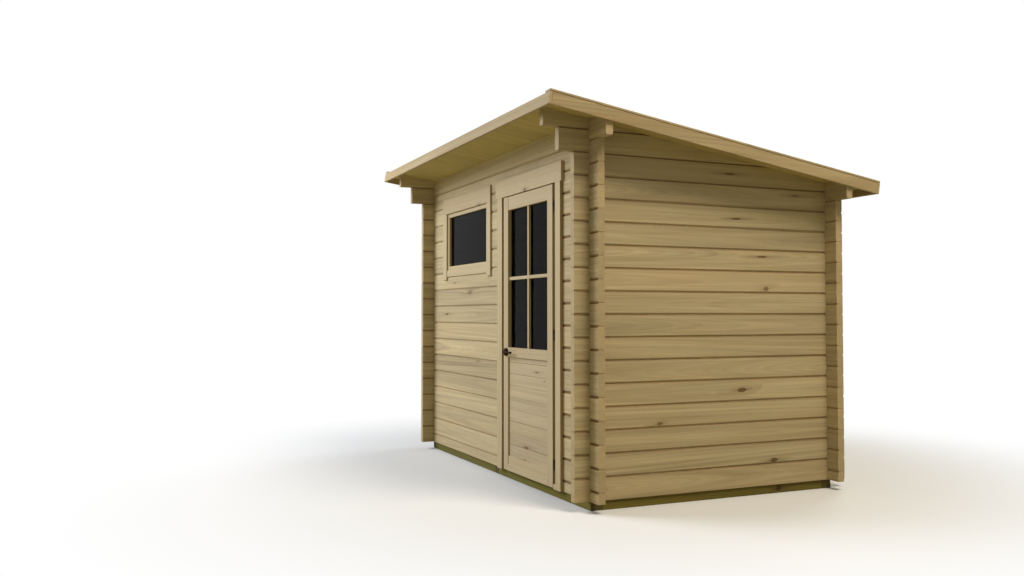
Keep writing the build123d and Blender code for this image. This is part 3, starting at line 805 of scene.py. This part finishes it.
# a turned shape: (radius, height) pairs round an axis
def turned(shell, place, outwards, profile, count):
    out = Vector(outwards).normalized()
    side = out.orthogonal().normalized()
    up = out.cross(side)
    spokes = [side * cos(t) + up * sin(t) for t in turnsOf(count)]
    skin(shell, [[Vector(place) + out * height + spoke * radius for spoke in spokes]
                 for radius, height in profile])


handle = {
    "middle": (0.217, 0.779),  # along the house, above the ground
    "rosette": [(0.0005, -0.001), (0.024, -0.001), (0.024, 0.0075), (0.0237, 0.0098), (0.0226, 0.0118),
                (0.0202, 0.0134), (0.0165, 0.0143), (0.011, 0.0147), (0.01, 0.0155), (0.0005, 0.0155)],
    # lever's line: along, outwards, half height, half thickness
    "lever": [(0.0, 0.004, 0.0086, 0.0086), (0.0, 0.01, 0.0084, 0.0084), (0.0, 0.017, 0.0074, 0.0074),
              (0.0012, 0.0225, 0.007, 0.0066), (0.005, 0.0268, 0.007, 0.006),
              (0.0115, 0.0286, 0.0072, 0.0057), (0.024, 0.0288, 0.0074, 0.0055),
              (0.048, 0.0287, 0.007, 0.0051), (0.076, 0.0285, 0.0071, 0.005),
              (0.1, 0.0281, 0.0074, 0.005), (0.116, 0.0272, 0.0074, 0.005),
              (0.124, 0.0262, 0.0066, 0.0045), (0.128, 0.0256, 0.0046, 0.0033),
              (0.1295, 0.0254, 0.0016, 0.0012)],
    "rosetteSides": 36, "leverSides": 20,
}


def buildHandle():
    low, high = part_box("door_stiles")
    x, z = handle["middle"]
    line = [Vector((along, outwards, 0.0)) for along, outwards, *_ in handle["lever"]]
    turns = turnsOf(handle["leverSides"])
    shell = bmesh.new()
    for face, out in ((low.y, -1.0), (high.y, 1.0)):
        turned(shell, (x, face, z), (0.0, out, 0.0), handle["rosette"], handle["rosetteSides"])
        rings = []
        for k, (*_, tall, thick) in enumerate(handle["lever"]):
            ahead = line[min(k + 1, len(line) - 1)] - line[max(k - 1, 0)]
            ahead.normalize()
            side = Vector((-ahead.y, ahead.x, 0.0))
            ring = [line[k] + side * thick * cos(t) + Vector((0.0, 0.0, tall * sin(t))) for t in turns]
            rings.append([Vector((x + point.x, face + out * point.y, z + point.z)) for point in ring])
        skin(shell, rings)
    showShell("doorHandle", shell, metals["darkBronze"], "door", ["door_handle"])
    print("handle fitted")


hinges = {
    "arris": 0.0006,
    "edgeAngle": 40.0,  # degrees; flatter edges aren't eased
    "plate": 0.0025,  # the plate's thickness
    "knuckle": 0.03,  # height of one half of the hinge
    "screwHead": [(0.0003, -0.0008), (0.0034, -0.0008), (0.0034, 0.0002), (0.003, 0.0007),
                  (0.002, 0.0011), (0.0009, 0.0012), (0.0007, 0.0007), (0.0003, 0.0007)],
    "screwsFromEdge": (0.01, 0.02),  # from the plate's rear edge
    "screwHeights": (0.009, 0.022),  # from the hinge's middle
    "screwSides": 14,
}


def buildHinges():
    for name, node, body, facing in (("hingePins", "hinge_pins", "house", -1.0),
                                     ("hingeBarrels", "hinge_barrels", "door", 1.0)):
        shell = bmesh.new()
        for solid in solidsOf(node):
            low, high = boxOf(solid)
            easeEdges(solid, hinges["arris"], hinges["edgeAngle"])
            part = bpy.data.meshes.new(name)
            solid.to_mesh(part)
            solid.free()
            shell.from_mesh(part)
            bpy.data.meshes.remove(part)
            plate = high.x - hinges["plate"] if facing < 0 else low.x + hinges["plate"]
            for inset, height in zip(hinges["screwsFromEdge"], hinges["screwHeights"]):
                z = low.z + hinges["knuckle"] - height if facing < 0 else low.z + height
                place, out = (plate, high.y - inset, z), (facing, 0.0, 0.0)
                turned(shell, place, out, hinges["screwHead"], hinges["screwSides"])
        showShell(name, shell, metals["darkBronze"], body, [node])
    print("hinges screwed on")


# Nails, set where a line from far off meets the frame's own surface

nails = {
    "head": [(0.0002, -0.0015), (0.0021, -0.0015), (0.0021, 0.0001), (0.0017, 0.0004), (0.0002, 0.0005)],
    "clout": [(0.0003, -0.0015), (0.0048, -0.0015), (0.0048, 0.0004), (0.0038, 0.0009), (0.0003, 0.0011)],
    "sides": 12,
    "farOff": 3.0,
    "casings": {"window_casings": 3, "door_casings": 6},  # nails up each casing
    "rails": {"window_header": 5, "door_header": 5, "window_bottom_rail": 4},
    "casingInset": 0.037, "endInset": 0.045,
    "fascia": 9, "fasciaInset": 0.05,
    "frontDrop": 0.45, "rearDrop": 0.5,  # from the fascia's top, in its own height
    "lath": 8, "lathInset": 0.03, "lathEnd": 0.06,
}


def nailOn(name, nodes, starts, towards):
    whole = bmesh.new()
    for node in nodes:
        whole.from_mesh(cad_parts[node].data)
    surface = BVHTree.FromBMesh(whole)
    whole.free()
    shell = bmesh.new()
    for start in starts:
        place, normal = surface.ray_cast(Vector(start), Vector(towards))[:2]
        if place is not None:
            turned(shell, place, normal, nails["head"], nails["sides"])
    showShell(name, shell, metals["nailSteel"], "house")


def spaced(start, end, count):
    return [start + (end - start) * k / (count - 1) for k in range(count)]


def buildNails():
    far, end = nails["farOff"], nails["endInset"]
    starts = []
    for node, count in nails["casings"].items():
        low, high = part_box(node)
        starts += [(x, -far, z) for x in (low.x + nails["casingInset"], high.x - nails["casingInset"])
                   for z in spaced(low.z + end, high.z - end, count)]
    for node, count in nails["rails"].items():
        low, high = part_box(node)
        starts += [(x, -far, (low.z + high.z) / 2) for x in spaced(low.x + end, high.x - end, count)]
    nailOn("casingNails", [*nails["casings"], *nails["rails"]], starts, (0.0, 1.0, 0.0))
    for name, node, side, drop in (("frontFasciaNails", "fascia_front", -1.0, nails["frontDrop"]),
                                   ("rearFasciaNails", "fascia_rear", 1.0, nails["rearDrop"])):
        low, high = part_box(node)
        z = high.z - (high.z - low.z) * drop
        across = spaced(low.x + nails["fasciaInset"], high.x - nails["fasciaInset"], nails["fascia"])
        nailOn(name, [node], [(x, side * far, z) for x in across], (0.0, -side, 0.0))
    low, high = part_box("verge_laths")
    downSlope = spaced(low.y + nails["lathEnd"], high.y - nails["lathEnd"], nails["lath"])
    sides = low.x + nails["lathInset"], high.x - nails["lathInset"]
    nailOn("lathNails", ["verge_laths"], [(x, y, far) for x in sides for y in downSlope], (0.0, 0.0, -1.0))
    print("nails driven")


# Roofing felt: three strips, each lapping over the one below it

felt = {
    "strips": 3,
    "lap": 0.075,
    "thickness": 0.002,
    "underside": 0.9,  # how far down the underside lies, in thicknesses
    "ruck": 0.0003,  # how far the felt lies off flat
    "step": 0.045,  # between its rows of points, across the slope
    "rows": 14,  # of points, down a strip's flat part
    "flatFrom": 0.04, "flatTo": 0.012,  # that part's distance from the strip's top and from the lap
    "bend": 0.004,
    "cloutGap": 0.115, "cloutInset": 0.022,
    "edgeBand": 0.02,  # how near the front or rear end the node's top edge is looked for
    "crisp": 30,
}

feltLook = {
    "dark": (0.038, 0.041, 0.04), "pale": (0.15, 0.155, 0.146), "washed": (0.052, 0.055, 0.047),
    "grit": 900.0, "grits": (0.42, 0.66),
    # clumps, rain that ran down the slope, blotches: the noise, where it begins and is full, how strong
    "washes": [((160.0, 3.0, 0.65), 0.46, 0.64, 0.45), (((13.0, 1.1, 1.1), 3.0), 0.45, 0.7, 0.35),
               ((5.0, 3.0), 0.4, 0.7, 0.3)],
    "dull": 0.92, "relief": 0.6, "depth": 0.0012,
}


def makeFelt():
    material, tree, shader = newMaterial("roofFelt")
    place = objectPlace(tree)
    grit = noiseOf(tree, place, feltLook["grit"], 2.0, 0.7)
    colour = blended(tree, eased(tree, grit, *feltLook["grits"]), feltLook["dark"], feltLook["pale"])
    for noise, start, end, amount in feltLook["washes"]:
        mask = eased(tree, noiseOf(tree, place, *noise), start, end)
        colour = blended(tree, times(tree, mask, amount), colour, feltLook["washed"])
    feed(tree, shader, {"Base Color": colour, "Roughness": feltLook["dull"],
                        "Normal": bumped(tree, grit, feltLook["relief"], feltLook["depth"])})
    return material


# a thin sheet from a grid of places on its top and underside, closed all round
def sheetFrom(shell, grid):
    upper, under = [[[shell.verts.new(pair[side]) for pair in line] for line in grid] for side in (0, 1)]
    last, count = len(grid) - 1, len(grid[0]) - 1
    for r in range(last):
        for k in range(count):
            shell.faces.new((upper[r][k], upper[r][k + 1], upper[r + 1][k + 1], upper[r + 1][k]))
            shell.faces.new((under[r][k], under[r + 1][k], under[r + 1][k + 1], under[r][k + 1]))
        shell.faces.new((upper[r][0], upper[r + 1][0], under[r + 1][0], under[r][0]))
        shell.faces.new((upper[r][count], under[r][count], under[r + 1][count], upper[r + 1][count]))
    for k in range(count):
        shell.faces.new((upper[0][k], under[0][k], under[0][k + 1], upper[0][k + 1]))
        shell.faces.new((upper[last][k], upper[last][k + 1], under[last][k + 1], under[last][k]))


def buildFelt():
    low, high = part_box("roof_felt")
    corners = [vert.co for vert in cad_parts["roof_felt"].data.vertices]
    front = max((co for co in corners if co.y < low.y + felt["edgeBand"]), key=lambda co: co.z)
    rear = max((co for co in corners if co.y > high.y - felt["edgeBand"]), key=lambda co: co.z)
    down = Vector((0.0, rear.y - front.y, rear.z - front.z))
    run = down.length
    down.normalize()
    out = Vector((0.0, -down.z, down.y))
    strips, lap, thick, bend = (felt[key] for key in ("strips", "lap", "thickness", "bend"))
    stripRun = (run + (strips - 1) * lap) / strips
    width = high.x - low.x
    across = spaced(low.x, high.x, round(width / felt["step"]) + 1)
    nailed = spaced(low.x, high.x, round(width / felt["cloutGap"]) + 1)[1:-1]
    dice = Random("felt")
    shell, clouts = bmesh.new(), bmesh.new()
    for strip in range(strips):
        start = strip * (stripRun - lap)
        end = start + stripRun
        # a strip's lower edge rides up on the next one, its upper edge lies flat on the boards
        laps = strip < strips - 1
        rows = [start, *spaced(start + felt["flatFrom"], end - lap - felt["flatTo"], felt["rows"])]
        rows += [end - lap + bend, end - bend, end] if laps else [end]
        grid = []
        for v in rows:
            lift = thick if laps and v > end - lap else 0.0
            line = []
            for x in across:
                ruck = 0.0 if x in (across[0], across[-1]) else dice.uniform(-1.0, 0.0) * felt["ruck"]
                place = Vector((x, front.y, front.z)) + down * v - out * (thick - lift)
                line.append((place + out * ruck, place - out * thick * felt["underside"]))
            grid.append(line)
        sheetFrom(shell, grid)
        for x in nailed if laps else ():
            place = Vector((x, front.y, front.z)) + down * (end - felt["cloutInset"])
            turned(clouts, place, out, nails["clout"], nails["sides"])
    showShell("roofFelt", shell, makeFelt(), "house", ["roof_felt"], crisp=felt["crisp"])
    showShell("feltClouts", clouts, metals["nailSteel"], "house")
    print("felt laid")


# Studio: pale floor, soft light

studio = {
    "floorSize": 60.0,
    "floorColour": (0.76, 0.79, 0.86),
    "floorPaler": 0.98, "floorMottle": 1.5,
    "floorDull": 0.85, "floorGloss": 0.2,
    "floorGlow": (0.4, 0.355, 0.185),  # what the floor sends back up to the object
    "whiteFrom": 1.5,  # metres from the middle where the floor begins to fade into the background
    "whiteTo": 3.6,
    "sky": (1.0, 0.93, 0.68), "skyLevel": 0.25,
    "lamps": [
        # name, place, aim, size, watts, colour
        ("key", (-3.8, -6.1, 5.0), (0.0, 0.0, 0.9), 5.6, 545.0, (0.98, 0.99, 1.0)),
        ("fill", (4.6, 0.7, 7.0), (0.0, 0.0, 0.9), 3.0, 400.0, (1.0, 0.87, 0.66)),
        ("back", (-3.0, 7.0, 4.5), (0.0, 0.0, 1.0), 4.0, 190.0, (1.0, 0.97, 0.93)),
    ],
}


# 1 for what the camera sees, also in gloss and through glass, and 0 for the light on the object
def seenOf(tree):
    ray = tree.nodes.new("ShaderNodeLightPath")
    seen = calc(tree, "MAXIMUM", ray.outputs["Is Camera Ray"], ray.outputs["Is Glossy Ray"])
    return calc(tree, "MAXIMUM", seen, ray.outputs["Is Transmission Ray"])


# mixes plain white over a shader by the amount
def whitened(tree, output, amount, shader, kind):
    white, mixed = tree.nodes.new(kind), tree.nodes.new("ShaderNodeMixShader")
    feed(tree, white, {"Color": (1.0, 1.0, 1.0, 1.0), "Strength": 1.0})
    feed(tree, mixed, {0: amount, 1: shader.outputs[0], 2: white.outputs[0]})
    feed(tree, output, {"Surface": mixed.outputs[0]})


def makeFloor():
    material, tree, shader = newMaterial("studioFloor")
    place = objectPlace(tree)
    seen = seenOf(tree)
    paler = tuple(v * studio["floorPaler"] for v in studio["floorColour"])
    colour = blended(tree, noiseOf(tree, place, studio["floorMottle"], 3.0), studio["floorColour"], paler)
    feed(tree, shader, {"Base Color": blended(tree, seen, studio["floorGlow"], colour),
                        "Roughness": studio["floorDull"], "Specular IOR Level": studio["floorGloss"]})
    fade = eased(tree, vectorCalc(tree, "LENGTH", place), studio["whiteFrom"], studio["whiteTo"])
    whitened(tree, tree.nodes["Material Output"], times(tree, seen, fade), shader, "ShaderNodeEmission")
    half = studio["floorSize"] / 2
    corners = [(-half, -half, 0), (half, -half, 0), (half, half, 0), (-half, half, 0)]
    mesh = bpy.data.meshes.new("studioFloor")
    mesh.from_pydata(corners, [], [(0, 1, 2, 3)])
    mesh.materials.append(material)
    floor = bpy.data.objects.new("studioFloor", mesh)
    scene.collection.objects.link(floor)
    print("floor laid out")


def makeLight():
    world = bpy.data.worlds.new("studio")
    scene.world = world
    world.use_nodes = True
    tree = world.node_tree
    tree.nodes.clear()
    sky = tree.nodes.new("ShaderNodeBackground")
    feed(tree, sky, {"Color": (*studio["sky"], 1.0), "Strength": studio["skyLevel"]})
    whitened(tree, tree.nodes.new("ShaderNodeOutputWorld"), seenOf(tree), sky, "ShaderNodeBackground")
    for name, place, aim, size, watts, colour in studio["lamps"]:
        lamp = bpy.data.lights.new(name, "AREA")
        lamp.shape = "DISK"
        lamp.size = size
        lamp.energy = watts
        lamp.color = colour
        holder = bpy.data.objects.new(name, lamp)
        holder.location = place
        holder.rotation_euler = (Vector(aim) - Vector(place)).to_track_quat("-Z", "Y").to_euler()
        scene.collection.objects.link(holder)
    scene.view_settings.view_transform = "Standard"
    print("studio lit")


setCamera()
buildBase()
buildWalls()
buildRoof()
buildWindow()
buildDoor()
buildHandle()
buildHinges()
buildFelt()
buildNails()
glazePanes()
makeFloor()
makeLight()
